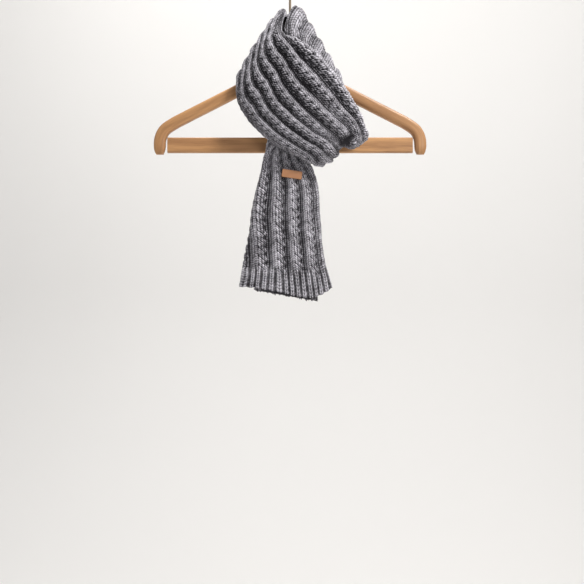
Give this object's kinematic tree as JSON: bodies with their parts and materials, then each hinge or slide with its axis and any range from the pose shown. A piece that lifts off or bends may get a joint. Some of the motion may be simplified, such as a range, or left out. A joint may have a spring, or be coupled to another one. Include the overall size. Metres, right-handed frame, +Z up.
{
  "type": "knit scarf on a coat hanger",
  "caption": "Chunky ribbed knit scarf with ribbed hems and a small leather tab, crossed over a wooden coat hanger with a wire hook.",
  "frame": {"origin": "inside top of the hook's curl, where a rail carries the hanger", "axes": "+Z up along the hang, +X to the viewer's right, -Y towards the front, which shows the crossed band"},
  "size_m": [0.39, 0.0936, 0.4894],
  "materials": {
    "knit_light": "matte heathered grey knit",
    "knit_shade": "matte dark grey knit",
    "label_leather": "smooth tan leather",
    "wood": "satin varnished brown wood",
    "wire": "dull bronze coloured wire"
  },
  "bodies": {
    "root": {"front_hem": "knit_light", "front_tail": "knit_light", "right_strand": "knit_light", "collar": "knit_light", "front_band": "knit_light", "right_turn": "knit_light", "back_tail": "knit_shade", "back_hem": "knit_shade", "leather_label": "label_leather", "hanger_arms": "wood", "hanger_bar": "wood", "hanger_hook": "wire"}
  },
  "joints": []
}
